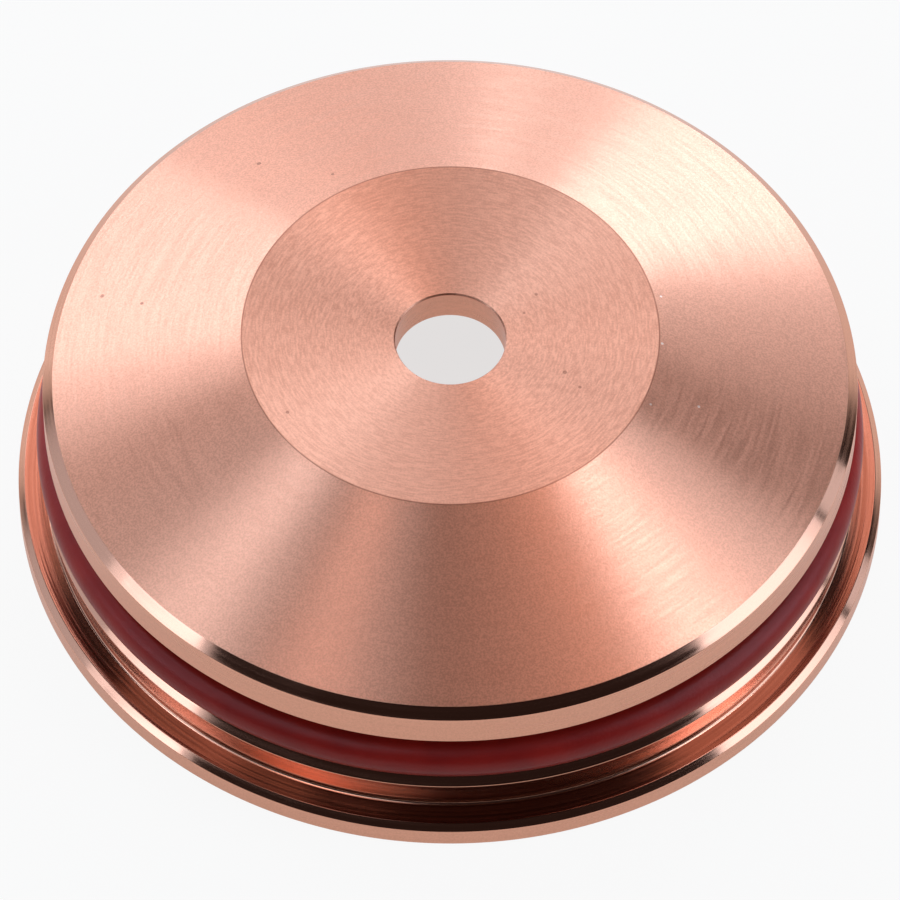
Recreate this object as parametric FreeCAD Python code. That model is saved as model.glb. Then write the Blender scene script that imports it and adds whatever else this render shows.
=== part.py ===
import FreeCAD, Part
import math
import os

# Plasma torch shield cap: one turned copper cap and the seal ring round its rim.
# The cap stands on its flange, with its axis on Z and the arc side up. All sizes are in millimetres.

# Front of the cap
orifice_radius = 2.35
orifice_length = 1.55
orifice_edge_break = 0.06
flat_radius = 8.875
flat_dish = 0.4
cone_radius = 17.0
cone_angle = 20.75

# Rim, from the cone's edge down to the flange
rim_chamfer = 0.43
land_height = 1.57
groove_width = 2.7
groove_depth = 1.3
foot_land_radius = 17.65
lead_in_chamfer = 0.4
neck_height = 1.6
neck_radius = 17.4

# Flange that the retaining cap clamps: a flat ledge with a chamfer outside it
flange_radius = 18.7
flange_height = 1.2
flange_chamfer = 0.27

# Inside of the cap
cone_wall = 2.4
seat_radius = 13.0
register_radius = 14.5
register_chamfer = 0.5

# Seal ring, whose cord is pressed flat where it is stretched over the groove's root
ring_cord_radius = 0.89
ring_root_flat = 0.12
ring_seat_gap = 0.01

# Radii and heights that follow from the sizes above
land_radius = cone_radius + rim_chamfer
groove_radius = land_radius - groove_depth
cone_slope = math.tan(math.radians(cone_angle))
foot_land_z = flange_height + neck_height
groove_floor_z = foot_land_z + lead_in_chamfer
groove_roof_z = groove_floor_z + groove_width
land_top_z = groove_roof_z + land_height
cone_edge_z = land_top_z + rim_chamfer
flat_z = cone_edge_z + (cone_radius - flat_radius) * cone_slope
orifice_top_z = flat_z - flat_dish
ceiling_z = orifice_top_z - orifice_length
inner_cone_drop = cone_wall / math.cos(math.radians(cone_angle))
ceiling_radius = flat_radius + (flat_z - inner_cone_drop - ceiling_z) / cone_slope
seat_z = ceiling_z - (seat_radius - ceiling_radius) * cone_slope


def at(radius, height):
    return FreeCAD.Vector(radius, 0, height)


def run(*points):
    # Straight edges through the points, in order.
    return [Part.makeLine(start, end) for start, end in zip(points, points[1:])]


def spin(edges):
    # Turn a closed section once round Z.
    face = Part.Face(Part.Wire(edges))
    return face.revolve(FreeCAD.Vector(0, 0, 0), FreeCAD.Vector(0, 0, 1), 360)


def front_edges():
    # From the mouth of the orifice out over the dished flat and the cone to the rim.
    edge_break_z = orifice_top_z - orifice_edge_break
    return run(
        at(orifice_radius, ceiling_z),
        at(orifice_radius, edge_break_z),
        at(orifice_radius + orifice_edge_break, orifice_top_z),
        at(flat_radius, flat_z),
        at(cone_radius, cone_edge_z),
        at(land_radius, land_top_z),
    )


def rim_edges():
    # From the upper land down through the seal groove, the lead-in and the neck to the foot.
    return run(
        at(land_radius, land_top_z),
        at(land_radius, groove_roof_z),
        at(groove_radius, groove_roof_z),
        at(groove_radius, groove_floor_z),
        at(foot_land_radius - lead_in_chamfer, groove_floor_z),
        at(foot_land_radius, foot_land_z),
        at(neck_radius, flange_height),
        at(flange_radius - flange_chamfer, flange_height),
        at(flange_radius, flange_height - flange_chamfer),
        at(flange_radius, 0),
    )


def inside_edges():
    # From the foot in to the register, up to the seat, and along the inner cone to the orifice.
    return run(
        at(flange_radius, 0),
        at(register_radius + register_chamfer, 0),
        at(register_radius, register_chamfer),
        at(register_radius, seat_z),
        at(seat_radius, seat_z),
        at(ceiling_radius, ceiling_z),
        at(orifice_radius, ceiling_z),
    )


def shield_cap():
    return spin(front_edges() + rim_edges() + inside_edges())


def seal_ring():
    # The cord lies on the groove's lower wall and root, and stands a little proud of the land.
    centre = at(
        groove_radius + ring_seat_gap + ring_cord_radius - ring_root_flat,
        groove_floor_z + ring_seat_gap + ring_cord_radius,
    )
    inward = ring_root_flat - ring_cord_radius
    rise = math.sqrt(ring_cord_radius ** 2 - inward ** 2)
    below = centre + at(inward, -rise)
    above = centre + at(inward, rise)
    cord = Part.Arc(below, centre + at(ring_cord_radius, 0), above).toShape()
    return spin([cord, Part.makeLine(above, below)])


def save(name, shape):
    shape.exportStep(os.path.join("parts", name + ".step"))
    box = shape.BoundBox
    print(name, "volume", round(shape.Volume, 2), "height", round(box.ZMin, 3), "to", round(box.ZMax, 3),
          "width", round(box.XLength, 3), "valid", shape.isValid())


os.makedirs("parts", exist_ok=True)
save("shield_cap", shield_cap())
save("seal_ring", seal_ring())
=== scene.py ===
# %% [markdown]
# # A plasma torch shield cap, turned from copper
#
# The cap is the outermost wear part of a cutting torch. It is one piece of copper that a lathe has shaped
# all over, with a red seal ring stretched into a groove round its rim. This lesson dresses it in Blender:
# the frame brings in the solids, and each step below gives one of them its final surface and finish.

# %% Load the frame
import bpy
import bmesh
import math
from mathutils import Matrix, Vector


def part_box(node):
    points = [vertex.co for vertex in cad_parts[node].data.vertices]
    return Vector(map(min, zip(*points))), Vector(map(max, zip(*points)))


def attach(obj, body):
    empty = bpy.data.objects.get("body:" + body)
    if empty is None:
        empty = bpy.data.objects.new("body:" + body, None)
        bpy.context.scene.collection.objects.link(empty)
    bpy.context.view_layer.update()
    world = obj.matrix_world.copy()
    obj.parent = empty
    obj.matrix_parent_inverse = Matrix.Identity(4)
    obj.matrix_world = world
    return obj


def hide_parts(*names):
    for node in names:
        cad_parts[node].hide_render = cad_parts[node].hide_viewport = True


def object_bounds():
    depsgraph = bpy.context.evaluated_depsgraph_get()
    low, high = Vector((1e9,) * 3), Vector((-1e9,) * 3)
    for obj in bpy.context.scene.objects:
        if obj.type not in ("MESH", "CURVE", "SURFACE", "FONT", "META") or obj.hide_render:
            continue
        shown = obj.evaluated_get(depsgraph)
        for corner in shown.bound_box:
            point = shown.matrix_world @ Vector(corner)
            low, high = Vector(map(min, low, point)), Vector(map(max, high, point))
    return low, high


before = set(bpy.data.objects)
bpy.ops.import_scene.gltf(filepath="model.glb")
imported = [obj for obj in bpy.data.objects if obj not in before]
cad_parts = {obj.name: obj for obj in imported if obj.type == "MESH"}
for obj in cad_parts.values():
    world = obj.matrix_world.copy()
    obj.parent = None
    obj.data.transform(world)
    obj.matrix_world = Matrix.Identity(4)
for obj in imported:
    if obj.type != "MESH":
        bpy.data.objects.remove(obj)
cad_low, cad_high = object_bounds()
MM = 0.001
print("nodes:", sorted(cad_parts))
print("size in mm:", [round(side / MM, 2) for side in cad_high - cad_low])

# %% [markdown]
# ## Reading the section from the solid
#
# Everything here is round, so its whole shape is in one section: the outline that you would see if you cut
# the part in half and looked at one side. Instead of typing that outline again, we cut the solid's mesh
# with a plane through the axis and walk along the cut. The walk keeps only the true corners, so a long
# straight wall is two points. It also means that the looks can never drift from the construction.

# %% Cut a node through its axis
WELD = 1e-6  # vertices closer than this, in metres, are one
STRAIGHT = 1e-3  # a turn whose sine is smaller than this is no corner


def section_of(node_name):
    """Corners (radius, height) of a turned node: from its lowest inner corner outwards and once round."""
    cut = bmesh.new()
    cut.from_mesh(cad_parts[node_name].data)
    bmesh.ops.remove_doubles(cut, verts=cut.verts, dist=WELD)
    everything = cut.verts[:] + cut.edges[:] + cut.faces[:]
    made = bmesh.ops.bisect_plane(cut, geom=everything, dist=WELD, plane_co=(0, 0, 0), plane_no=(0, 1, 0))
    steps = {}
    for edge in made["geom_cut"]:
        if isinstance(edge, bmesh.types.BMEdge) and all(v.co.x > 0 for v in edge.verts):
            a, b = edge.verts
            steps.setdefault(a, []).append(b)
            steps.setdefault(b, []).append(a)
    start = min(steps, key=lambda v: (round(v.co.z, 6), v.co.x))
    walk, here, before = [start], steps[start][0], start
    while here is not start:
        walk.append(here)
        here, before = next(v for v in steps[here] if v is not before), here
    points = [Vector((v.co.x, v.co.z)) for v in walk]
    cut.free()
    # A negative area means that the walk went clockwise, so it is turned round.
    if sum(a.cross(b) for a, b in zip(points, points[1:] + points[:1])) < 0:
        points = points[:1] + points[:0:-1]
    return corners_only(points)


def corners_only(points):
    """Drops each point that lies on the straight line between its neighbours."""
    kept = []
    for i, point in enumerate(points):
        arrive = (point - points[i - 1]).normalized()
        leave = (points[(i + 1) % len(points)] - point).normalized()
        if abs(arrive.cross(leave)) > STRAIGHT:
            kept.append(point)
    return kept


cap_section = section_of("shield_cap")
ring_section = section_of("seal_ring")
print("corners of the cap:", [(round(p.x / MM, 2), round(p.y / MM, 2)) for p in cap_section])
print("points round the seal ring's cord:", len(ring_section))

# %% [markdown]
# ## Breaking every edge
#
# A lathe tool leaves no edge perfectly sharp. A few hundredths of a millimetre are rubbed or filed off, and
# that tiny round is what catches a bright line in a photograph. A bevel modifier could do it, but it would
# also bevel the flat facets of the solid. Since we have the section, we round its corners first and only
# then turn it, which gives clean rings and lets us work out the exact normal at every point.
#
# The same table says which finish the wall after each corner gets. The materials come later, in this order.

# %% Name the corners and round them
FLAT, CONE, CHAMFER, LAND, NECK, LEDGE, INSIDE = range(7)
CORNERS = {
    # name: its round in mm, and the finish of the wall that follows it
    "foot bore": (0.05, INSIDE),
    "foot edge": (0.07, LAND),
    "flange wall top": (0.05, CHAMFER),
    "flange chamfer top": (0.05, LEDGE),
    "neck root": (0.13, NECK),
    "foot land edge": (0.05, CHAMFER),
    "lead-in top": (0.04, NECK),
    "groove floor corner": (0.15, NECK),
    "groove roof corner": (0.15, NECK),
    "land bottom": (0.05, LAND),
    "land top": (0.05, CHAMFER),
    "cone edge": (0.06, CONE),
    "flat edge": (0.10, FLAT),
    "orifice mouth": (0.03, FLAT),
    "orifice wall top": (0.03, INSIDE),
    "orifice back": (0.08, INSIDE),
    "ceiling edge": (0.30, INSIDE),
    "seat edge": (0.10, INSIDE),
    "seat corner": (0.10, INSIDE),
    "register mouth": (0.06, INSIDE),
}
ARC_STEPS = 4
ROOM_SHARE = 0.45  # a round takes no more than this share of the shorter wall beside it


def right_hand(direction):
    return Vector((direction.y, -direction.x))


def rounded_section(corners, rounds):
    """Points and outward normals of a section whose corners are rounded, and the corner each belongs to."""
    points, normals, owners = [], [], []
    for i, corner in enumerate(corners):
        before, after = corners[i - 1], corners[(i + 1) % len(corners)]
        arrive, leave = (corner - before).normalized(), (after - corner).normalized()
        turn = arrive.angle_signed(leave)
        room = ROOM_SHARE * min((corner - before).length, (after - corner).length)
        reach = min(rounds[i] * math.tan(abs(turn) / 2), room)
        size = reach / math.tan(abs(turn) / 2)
        # The arc's centre lies inside the metal at an outer corner, and outside it at an inner one.
        side = -1 if arrive.cross(leave) > 0 else 1
        first, last = right_hand(arrive), right_hand(leave)
        centre = corner - arrive * reach + first * size * side
        for step in range(ARC_STEPS + 1):
            normal = first.slerp(last, step / ARC_STEPS)
            points.append(centre - normal * size * side)
            normals.append(normal)
            owners.append(i)
    return points, normals, owners


assert len(CORNERS) == len(cap_section)
cap_rounds = [size * MM for size, finish in CORNERS.values()]
cap_points, cap_normals, cap_owners = rounded_section(cap_section, cap_rounds)
flat_edge = cap_section[list(CORNERS).index("flat edge")]
cone_edge = cap_section[list(CORNERS).index("cone edge")]
for name, corner in zip(CORNERS, cap_section):
    print(f"{name:22s} r {corner.x / MM:6.2f}  z {corner.y / MM:6.2f}")

# %% [markdown]
# ## Turning the cap
#
# A turned part is its section carried once round the axis, and the number of steps decides how round the
# outline looks. At this size the rim fills the picture, so one step for each degree is needed. Each vertex
# also gets the true normal of the turned surface. Flat walls then shade flat right up to their edges, and
# the cone shades as a cone, however long and thin its faces are.

# %% Turn a section into a mesh
TURNS = 360


def turned_mesh(name, points, normals, finishes):
    """Carries a section round Z. finishes gives the material slot of each strip between two points."""
    count = len(points)
    vertices, directions, faces, slots = [], [], [], []
    for turn in range(TURNS):
        angle = 2 * math.pi * turn / TURNS
        c, s = math.cos(angle), math.sin(angle)
        for point, normal in zip(points, normals):
            vertices.append((point.x * c, point.x * s, point.y))
            directions.append((normal.x * c, normal.x * s, normal.y))
        here, there = turn * count, (turn + 1) % TURNS * count
        for i in range(count):
            j = (i + 1) % count
            faces.append((here + i, there + i, there + j, here + j))
            slots.append(finishes[i])
    mesh = bpy.data.meshes.new(name)
    mesh.from_pydata(vertices, [], faces)
    mesh.polygons.foreach_set("material_index", slots)
    mesh.polygons.foreach_set("use_smooth", [True] * len(faces))
    mesh.normals_split_custom_set_from_vertices(directions)
    mesh.update()
    return mesh


def new_piece(name, mesh):
    piece = bpy.data.objects.new(name, mesh)
    bpy.context.scene.collection.objects.link(piece)
    return piece


finish_after = [finish for size, finish in CORNERS.values()]
turned_cap = new_piece("turned_cap", turned_mesh(
    "turned_cap", cap_points, cap_normals, [finish_after[owner] for owner in cap_owners]))
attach(turned_cap, "root")
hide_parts("shield_cap")
print("cap faces:", len(turned_cap.data.polygons))

# %% [markdown]
# ## The seal ring
#
# The ring is a moulded rubber cord, stretched into the groove so that it grips the root. The solid already
# says where the cord lies, so its box gives the cord's centre and radius. We draw a finer circle there,
# pressed a little flat against the root, and turn it with the same helper.

# %% Turn the cord
CORD_STEPS = 48
ring_low, ring_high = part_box("seal_ring")
cord_radius = (ring_high.z - ring_low.z) / 2
cord_centre = Vector((ring_high.x - cord_radius, (ring_high.z + ring_low.z) / 2))
cord_root = min(point.x for point in ring_section)
cord_points, cord_normals = [], []
for step in range(CORD_STEPS):
    angle = 2 * math.pi * step / CORD_STEPS
    normal = Vector((math.cos(angle), math.sin(angle)))
    point = cord_centre + normal * cord_radius
    if point.x < cord_root:
        point.x = cord_root
    cord_points.append(point)
    cord_normals.append(normal)
seal_cord = new_piece("seal_cord", turned_mesh("seal_cord", cord_points, cord_normals, [0] * CORD_STEPS))
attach(seal_cord, "root")
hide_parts("seal_ring")
print("cord radius in mm:", round(cord_radius / MM, 3), "faces:", len(seal_cord.data.polygons))

# %% [markdown]
# ## Small helpers for materials
#
# A material is a graph of nodes. Writing every link by hand hides the idea, so a few helpers add a node and
# plug in its inputs, and the finishes below read almost like formulas. An input is called by its name, with
# underscores for spaces, or by its number, as in i0, where a node has several inputs of one name.

# %% Add a node and wire it
def wire(tree, made, **inputs):
    """Plugs in a node's inputs. Each is a number, a colour, or another node's output."""
    for key, value in inputs.items():
        numbered = key[0] == "i" and key[1:].isdigit()
        socket = made.inputs[int(key[1:]) if numbered else key.replace("_", " ")]
        if isinstance(value, bpy.types.NodeSocket):
            tree.links.new(value, socket)
        else:
            socket.default_value = value
    return made


def node(tree, kind, settings=None, **inputs):
    """Adds a node with its settings and its inputs."""
    made = tree.nodes.new(kind)
    for key, value in (settings or {}).items():
        setattr(made, key, value)
    return wire(tree, made, **inputs)


def object_place(tree):
    """The point on the part, in metres from its origin."""
    return node(tree, "ShaderNodeTexCoord").outputs["Object"]


def maths(tree, operation, a, b=0.0, c=0.0):
    return node(tree, "ShaderNodeMath", {"operation": operation}, i0=a, i1=b, i2=c).outputs[0]


def vector(tree, operation, output=0, **inputs):
    return node(tree, "ShaderNodeVectorMath", {"operation": operation}, **inputs).outputs[output]


def noise(tree, place, scale, detail, roughness=0.5):
    return node(tree, "ShaderNodeTexNoise", Vector=place, Scale=scale, Detail=detail,
                Roughness=roughness).outputs[0]


def ramp(tree, value, start, end, low=0.0, high=1.0):
    """Takes start..end to low..high and stays level outside."""
    return node(tree, "ShaderNodeMapRange", Value=value, From_Min=start, From_Max=end, To_Min=low,
                To_Max=high).outputs[0]


def bump(tree, height, depth_mm, **under):
    """A surface normal tilted by a height. under may give the Normal that it starts from."""
    return node(tree, "ShaderNodeBump", Height=height, Distance=depth_mm * MM, Strength=1.0, **under).outputs[0]


def blend_colours(tree, amount, first, second):
    return node(tree, "ShaderNodeMix", {"data_type": "RGBA"}, i0=amount, i6=first, i7=second).outputs[2]


def new_material(name):
    material = bpy.data.materials.new(name)
    material.use_nodes = True
    tree = material.node_tree
    return material, tree, tree.nodes["Principled BSDF"]


# %% [markdown]
# ## The lathe's own coordinates
#
# The tool feeds slowly along the section while the part spins, so its marks are fine rings: they change
# fast from one radius to the next and hardly at all along the ring. A noise shows the same thing if its
# input is the direction round the axis, which changes little, and the distance along the section, stretched
# a lot. Radius less a part of the height is such a distance. It grows on the flat, the cone and all walls.

# %% Coordinates that follow the tool
HEIGHT_SHARE = 0.8


def tool_path(tree, rings_per_mm, round_detail):
    """Coordinates for rings: the direction round the axis, and the way along the section."""
    parts = node(tree, "ShaderNodeSeparateXYZ", Vector=object_place(tree))
    level = node(tree, "ShaderNodeCombineXYZ", X=parts.outputs["X"], Y=parts.outputs["Y"]).outputs[0]
    radius = vector(tree, "LENGTH", "Value", i0=level)
    around = vector(tree, "NORMALIZE", i0=level)
    around = vector(tree, "SCALE", i0=around, Scale=round_detail)
    along = maths(tree, "MULTIPLY_ADD", parts.outputs["Z"], -HEIGHT_SHARE, radius)
    along = maths(tree, "MULTIPLY", along, rings_per_mm / MM)
    across = node(tree, "ShaderNodeCombineXYZ", Z=along).outputs[0]
    return vector(tree, "ADD", i0=around, i1=across)


# %% [markdown]
# ## Small marks of use and an edge line
#
# A cap that has been handled is never spotless. Spatter leaves dark pits and a tip that touched it leaves pale
# scuffs. A thin darker line is also drawn where the dished flat meets the cone. Seen from above each mark
# is a disc or a thin ring, so one distance says whether a point lies in it.

# %% Place the pits, the scuffs and the edge line
PITS = [
    # radius in mm, azimuth in degrees, half width in mm
    (15.4, 166, 0.09), (13.5, 168, 0.08), (13.2, 129, 0.09), (10.2, 120, 0.07), (8.0, -149, 0.08),
    (4.3, 32, 0.07), (3.4, 23, 0.06), (5.2, -21, 0.09), (6.1, -26, 0.07),
]
SCUFFS = [(9.2, 13, 0.05), (9.0, -3, 0.06), (9.2, -23, 0.05), (11.0, -17, 0.06)]
EDGE_LINE_MM = 0.035
PIT_STRENGTH, SCUFF_STRENGTH, LINE_STRENGTH = 0.5, 0.8, 0.7
COPPER_PIT = (0.10, 0.03, 0.02, 1)
COPPER_SCUFF = (1.00, 0.85, 0.75, 1)


def seen_from_above(tree):
    return vector(tree, "MULTIPLY", i0=object_place(tree), i1=(1, 1, 0))


def spots(tree, marks):
    """1 inside any of the marks and 0 elsewhere."""
    plan = seen_from_above(tree)
    found = 0.0
    for radius, azimuth, size in marks:
        a = math.radians(azimuth)
        middle = (radius * MM * math.cos(a), radius * MM * math.sin(a), 0)
        away = vector(tree, "DISTANCE", "Value", i0=plan, i1=middle)
        found = maths(tree, "MAXIMUM", found, maths(tree, "LESS_THAN", away, size * MM))
    return found


def ring_line(tree, radius, half_width):
    """1 on a thin ring at a radius and 0 elsewhere."""
    here = vector(tree, "LENGTH", "Value", i0=seen_from_above(tree))
    return maths(tree, "COMPARE", here, radius, half_width)


def marked(tree, tint, edge_line_colour):
    """Lays the edge line, the scuffs and the pits over a colour."""
    line = ring_line(tree, flat_edge.x, EDGE_LINE_MM * MM)
    for where, strength, colour in ((line, LINE_STRENGTH, edge_line_colour),
                                    (spots(tree, SCUFFS), SCUFF_STRENGTH, COPPER_SCUFF),
                                    (spots(tree, PITS), PIT_STRENGTH, COPPER_PIT)):
        tint = blend_colours(tree, maths(tree, "MULTIPLY", where, strength), tint, colour)
    return tint


print("pits:", len(PITS), "scuffs:", len(SCUFFS), "edge line at radius", round(flat_edge.x / MM, 2), "mm")

# %% [markdown]
# ## Turned copper
#
# Copper is a metal, so its colour is the colour of its reflections. The rings of the tool act as tiny
# cylinders: they smear a reflection across themselves and keep it sharp along themselves, which draws the
# fan of light on a turned face. In the shader that is anisotropy. A radial tangent runs round the axis, and
# a quarter turn of the anisotropic rotation lays the smear across the rings.
#
# The finishes share one graph and differ in numbers. The dished flat is darker than the cone because its
# rings are deeper and shade one another, and the chamfers are nearly polished. The ledge at the foot has the
# darkest colour, which is painted shade from the neck and the seal ring above it.

# %% Seven finishes of one copper
COPPER = (0.85, 0.42, 0.288, 1)
COPPER_FLAT = (0.69, 0.345, 0.234, 1)
# painted shade: the ledge under the neck and the seal ring is coloured darker than the rest of the copper
COPPER_LEDGE_PAINTED_SHADE = (0.50, 0.20, 0.13, 1)
COPPER_BORE = (0.88, 0.45, 0.32, 1)
SHADE_POWERS = (1.0, 1.25, 1.35)
DARKEST = 0.45
DARK_LIMITS = (0.62, 0.38)  # the noise is plain above the first and darkest below the second
RING_LIMITS = (0.35, 0.65)
ROUGHNESS_SWING = 0.03
GRAIN_PER_MM = 12.0
NOISE_DETAIL = 2.0
ACROSS_THE_RINGS = 0.25
MARKED_FINISHES = ("copper_flat", "copper_cone")
FINISHES = {
    # name: colour, roughness, anisotropy,
    #       rings: (number per mm, detail round the axis, share in the tint, depth in mm),
    #       grain: (contrast of the tint, depth in mm)
    "copper_flat": (COPPER_FLAT, 0.40, 0.90, (11.0, 13.0, 0.60, 0.0025), (0.50, 0.0020)),
    "copper_cone": (COPPER, 0.34, 1.00, (6.0, 5.0, 0.15, 0.0010), (0.34, 0.0024)),
    "copper_chamfer": (COPPER, 0.13, 0.60, (6.0, 2.0, 0.50, 0.0003), (0.08, 0.0000)),
    "copper_land": (COPPER, 0.30, 0.60, (5.0, 2.0, 0.40, 0.0008), (0.22, 0.0020)),
    "copper_neck": (COPPER, 0.15, 0.60, (4.0, 1.5, 0.90, 0.0120), (0.35, 0.0000)),
    # the ledge's darker colour is painted shade from the neck and the seal ring above it
    "copper_ledge": (COPPER_LEDGE_PAINTED_SHADE, 0.18, 0.60, (5.0, 1.5, 0.90, 0.0160), (0.60, 0.0000)),
    "copper_inside": (COPPER_BORE, 0.30, 0.60, (5.0, 3.0, 0.60, 0.0020), (0.25, 0.0010)),
}


def darkened(colour):
    """The same copper at its darkest, with red falling least, as on worked copper."""
    return tuple(part * DARKEST ** power for part, power in zip(colour, SHADE_POWERS)) + (1,)


def turned_copper(name, colour, roughness, anisotropy, rings, grain):
    """Copper with the tool's rings and a fine grain."""
    rings_per_mm, round_detail, ring_share, ring_depth = rings
    contrast, grain_depth = grain
    material, tree, shader = new_material(name)
    ring_noise = noise(tree, tool_path(tree, rings_per_mm, round_detail), 1.0, NOISE_DETAIL)
    grain_noise = noise(tree, object_place(tree), GRAIN_PER_MM / MM, NOISE_DETAIL)
    both = node(tree, "ShaderNodeMix", i0=ring_share, i2=grain_noise, i3=ring_noise).outputs[0]
    tint = blend_colours(tree, ramp(tree, both, *DARK_LIMITS, high=contrast), colour, darkened(colour))
    if name in MARKED_FINISHES:
        tint = marked(tree, tint, darkened(colour))
    rough = ramp(tree, ring_noise, *RING_LIMITS, roughness - ROUGHNESS_SWING, roughness + ROUGHNESS_SWING)
    tangent = node(tree, "ShaderNodeTangent", {"direction_type": "RADIAL", "axis": "Z"}).outputs[0]
    matte = bump(tree, grain_noise, grain_depth)
    relief = bump(tree, ring_noise, ring_depth, Normal=matte)
    wire(tree, shader, Base_Color=tint, Metallic=1.0, Roughness=rough, Normal=relief, Tangent=tangent,
         Anisotropic=anisotropy, Anisotropic_Rotation=ACROSS_THE_RINGS)
    return material


for name, values in FINISHES.items():
    turned_cap.data.materials.append(turned_copper(name, *values))
print("copper finishes:", [material.name for material in turned_cap.data.materials])

# %% [markdown]
# ## Red rubber
#
# The ring is silicone rubber: deep red, with a satin skin that softens every reflection. Its colour is
# nearly even, so the surface does the work. A fine noise roughens the skin, a slower one makes the
# stretched cord a little uneven, and rare pale specks are lint that rubber always picks up.

# %% Satin skin for the cord
RUBBER_RED = (0.360, 0.016, 0.011, 1)
RUBBER_DEEP = (0.300, 0.012, 0.009, 1)
LINT = (0.45, 0.25, 0.22, 1)
RUBBER_ROUGHNESS = 0.38
RUBBER_SHEEN = 0.32
SKIN_PER_MM, SKIN_DEPTH_MM = 7, 0.012
UNEVEN_PER_MM, UNEVEN_DEPTH_MM = 0.5, 0.05
LINT_PER_MM = 2.2
LINT_LIMITS = (0.70, 0.76)  # so near the noise's top that only rare specks pass
LINT_STRENGTH = 0.5


def red_rubber():
    material, tree, shader = new_material("red_rubber")
    place = object_place(tree)
    skin = noise(tree, place, SKIN_PER_MM / MM, 4.0)
    uneven = noise(tree, place, UNEVEN_PER_MM / MM, 2.0)
    specks = noise(tree, place, LINT_PER_MM / MM, 5.0, 0.8)
    colour = blend_colours(tree, ramp(tree, uneven, 0.35, 0.65), RUBBER_DEEP, RUBBER_RED)
    colour = blend_colours(tree, ramp(tree, specks, *LINT_LIMITS, high=LINT_STRENGTH), colour, LINT)
    relief = bump(tree, uneven, UNEVEN_DEPTH_MM, Normal=bump(tree, skin, SKIN_DEPTH_MM))
    wire(tree, shader, Base_Color=colour, Roughness=RUBBER_ROUGHNESS, Specular_IOR_Level=RUBBER_SHEEN,
         Normal=relief)
    return material


seal_cord.data.materials.append(red_rubber())
print("seal ring finish:", seal_cord.data.materials[0].name)

# %% [markdown]
# ## The floor
#
# The cap stands on a plain white board. The camera sees the board glow by itself, so that the background is
# white while a trace of the cap's shadow still shows on it. The glow is weaker under the cap, where you see
# it through the orifice: that greyer patch is painted shade for the cap's shadow there. Metal shows its
# surroundings, so reflections see part of the glow too. Light Path tells the rays apart. The board lies a
# hair below the foot, so that the two faces never share a plane.

# %% Lay a white board
FLOOR_REACH = 0.6
FLOOR_GAP = 0.02 * MM
BOARD_COLOUR = (0.55, 0.53, 0.50, 1)
CAMERA_GLOW = 0.92
GLOW_IN_PAINTED_SHADE = 0.72
PAINTED_SHADE_FADE = (0.60, 0.95)  # the glow grows out of the painted shade between these shares of the cap's radius
MIRROR_GLOW = 0.57


def white_board():
    material, tree, shader = new_material("white_board")
    wire(tree, shader, Base_Color=BOARD_COLOUR, Roughness=0.9, Specular_IOR_Level=0.0)
    path = node(tree, "ShaderNodeLightPath").outputs
    radius = vector(tree, "LENGTH", "Value", i0=object_place(tree))
    inner, outer = (share * cad_high.x for share in PAINTED_SHADE_FADE)
    # painted shade: the camera sees less glow under the cap, a greyer patch for the cap's shadow seen through
    # the orifice
    seen = maths(tree, "MULTIPLY", path["Is Camera Ray"],
                 ramp(tree, radius, inner, outer, GLOW_IN_PAINTED_SHADE, CAMERA_GLOW))
    mirrored = maths(tree, "MAXIMUM", path["Is Glossy Ray"], path["Is Transmission Ray"])
    share = maths(tree, "MULTIPLY_ADD", mirrored, MIRROR_GLOW, seen)
    glow = node(tree, "ShaderNodeEmission", Color=(1, 1, 1, 1), Strength=1.0).outputs[0]
    both = node(tree, "ShaderNodeMixShader", i0=share, i1=shader.outputs[0], i2=glow).outputs[0]
    wire(tree, tree.nodes["Material Output"], Surface=both)
    return material


board_mesh = bpy.data.meshes.new("floor")
corners = [(x * FLOOR_REACH, y * FLOOR_REACH, -FLOOR_GAP) for x, y in ((-1, -1), (1, -1), (1, 1), (-1, 1))]
board_mesh.from_pydata(corners, [], [(0, 1, 2, 3)])
floor = new_piece("floor", board_mesh)
floor.data.materials.append(white_board())
print("floor reaches", FLOOR_REACH, "m each way")

# %% [markdown]
# ## Softboxes all round
#
# Shiny metal is lit by what it mirrors, so it gets softboxes all round and a nearly black room. Each softbox
# is placed by the direction it is seen in from the cap. Its brightness is given as radiance: a mirror would
# show a softbox of brightness 1 as white. The lamp's power follows from that and from its area. Most have
# the colour of daylight. Three high ones are warmer, and so is the room, which keeps the dim parts of the
# copper as orange as the eye expects.

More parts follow.
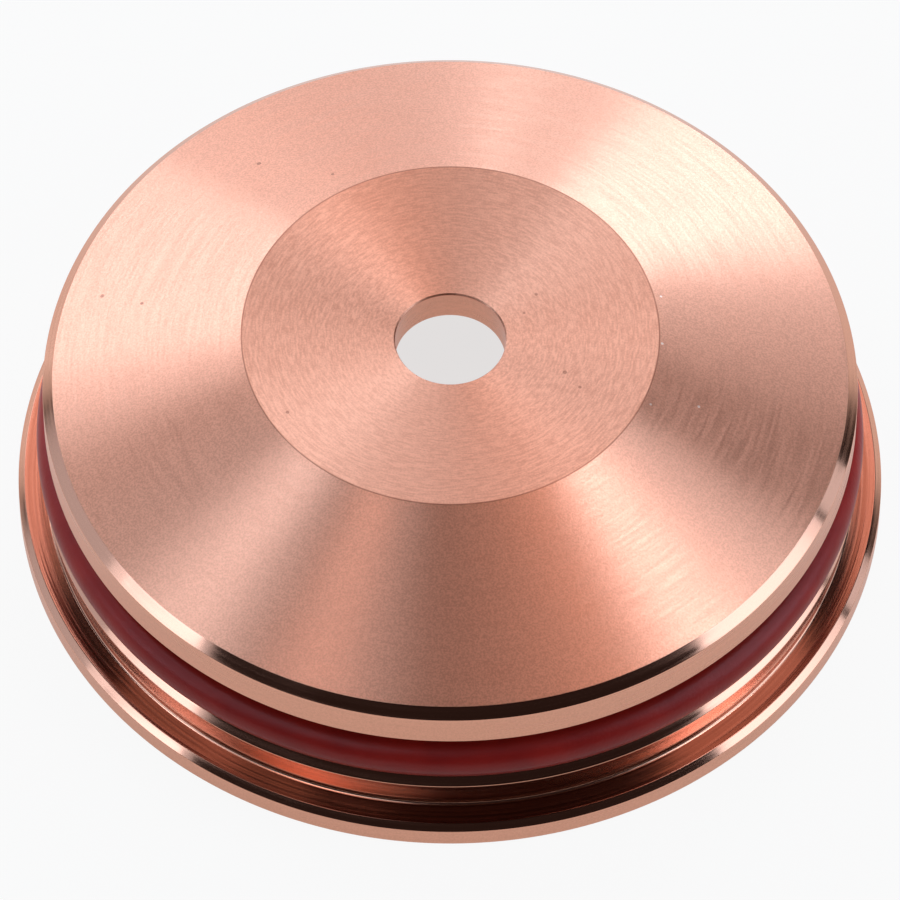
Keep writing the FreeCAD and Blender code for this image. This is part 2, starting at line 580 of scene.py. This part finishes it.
# %% Hang the softboxes
ROOM_GREY = 0.018
ROOM_TINT = (1.15, 0.90, 0.90)
LAMP_DISTANCE = 0.50
DAYLIGHT = (0.81, 1.00, 1.21)
LAMPLIGHT = (1.42, 1.00, 0.88)
SOFTBOXES = {
    # name: azimuth, elevation, width and height in degrees, brightness, and a colour if it isn't daylight
    "left_wall": (-162, 36, 27, 50, 0.7),
    "right_wall": (-10, 34, 36, 52, 1.5),
    "right_back": (70, 27, 34, 50, 1.73),
    "right_back_core": (68, 22, 18, 26, 3.0),
    "left_back": (128, 22, 32, 48, 2.7),
    "left_back_core": (131, 35, 16, 24, 0.2),
    "left_front_top": (-123, 60, 18, 20, 1.31),
    "back_top": (112, 61, 28, 9, 1.64),
    "middle_top": (50, 73, 26, 16, 1.75, LAMPLIGHT),
    "back_low": (98, 14, 26, 26, 1.8),
    "back_mid": (95, 40, 30, 12, 1.11),
    "back_dim": (95, 54, 30, 14, 1.03, LAMPLIGHT),
    "left_dim": (170, 15, 38, 24, 0.66),
    "left_high": (-168, 62, 26, 10, 0.52),
    "left_spot_low": (168, 64, 12, 9, 3.9),
    "left_spot_high": (-154, 73, 12, 8, 2.1, LAMPLIGHT),
    "left_front": (-139, 42, 22, 8, 0.72),
    "left_low_core": (-161, 25, 20, 12, 1.7),
    "right_low_core": (-12, 22, 30, 14, 0.7),
    "right_crown": (12, 66, 14, 8, 6.45),
    "right_crown_end": (36, 62, 12, 8, 1.35),
    "right_edge": (14, 14, 10, 22, 0.93),
}


def softbox(name, azimuth, elevation, wide, high, brightness, colour=DAYLIGHT):
    """A rectangular lamp that faces the cap's middle and looks wide by high degrees from there."""
    lamp = bpy.data.lights.new(name, "AREA")
    lamp.shape = "RECTANGLE"
    lamp.size = 2 * LAMP_DISTANCE * math.tan(math.radians(wide) / 2)
    lamp.size_y = 2 * LAMP_DISTANCE * math.tan(math.radians(high) / 2)
    lamp.energy = brightness * math.pi * lamp.size * lamp.size_y
    lamp.color = colour
    stand = bpy.data.objects.new(name, lamp)
    a, e = math.radians(azimuth), math.radians(elevation)
    outward = Vector((math.cos(a) * math.cos(e), math.sin(a) * math.cos(e), math.sin(e)))
    stand.location = outward * LAMP_DISTANCE
    stand.rotation_euler = outward.to_track_quat("Z", "Y").to_euler()
    bpy.context.scene.collection.objects.link(stand)


for name, values in SOFTBOXES.items():
    softbox(name, *values)
world = bpy.data.worlds.new("dark_room")
world.use_nodes = True
room_colour = [share * ROOM_GREY for share in ROOM_TINT] + [1]
wire(world.node_tree, world.node_tree.nodes["Background"], Color=room_colour, Strength=1.0)
bpy.context.scene.world = world
print("softboxes:", ", ".join(SOFTBOXES))

# %% [markdown]
# ## The camera
#
# A long lens from well above flattens the cap and shows its whole front. The camera looks along a line that
# rises 54.55 degrees from the floor. It stands at 22 times the radius of the cone's edge from the middle of
# the flat face, so far away that the back rim looks only a little smaller than the front rim. A small shift
# and a fifth of a degree of roll frame the cap as in a hand-set photograph.

# %% Set up the camera
CAMERA_ELEVATION = 54.55
CAMERA_DISTANCE_RADII = 22.0
CAMERA_ROLL = 0.20
CAMERA_SIDE_RADII = 0.0010
CAMERA_DROP_RADII = 0.2916
FOCAL_PIXELS = 8813.0
IMAGE_PIXELS = 900
SENSOR_MM = 36.0
CLIP_NEAR, CLIP_FAR = 0.01, 10.0

rise, roll = math.radians(CAMERA_ELEVATION), math.radians(CAMERA_ROLL)
towards = Vector((0, -math.cos(rise), math.sin(rise)))
level_right, level_up = Vector((1, 0, 0)), Vector((0, math.sin(rise), math.cos(rise)))
right = level_right * math.cos(roll) + level_up * math.sin(roll)
up = level_up * math.cos(roll) - level_right * math.sin(roll)
aim = Vector((0, 0, flat_edge.y))
spot = (aim + towards * CAMERA_DISTANCE_RADII * cone_edge.x - right * CAMERA_SIDE_RADII * cone_edge.x
        - up * CAMERA_DROP_RADII * cone_edge.x)
lens = bpy.data.cameras.new("camera")
lens.sensor_width = SENSOR_MM
lens.lens = FOCAL_PIXELS * SENSOR_MM / IMAGE_PIXELS
lens.clip_start, lens.clip_end = CLIP_NEAR, CLIP_FAR
camera = bpy.data.objects.new("camera", lens)
facing = Matrix((right, up, towards)).transposed().to_4x4()
camera.matrix_world = Matrix.Translation(spot) @ facing
bpy.context.scene.collection.objects.link(camera)
bpy.context.scene.camera = camera
bpy.context.scene.view_settings.view_transform = "Standard"
print("camera at", [round(value, 4) for value in spot], "lens", round(lens.lens, 1), "mm")
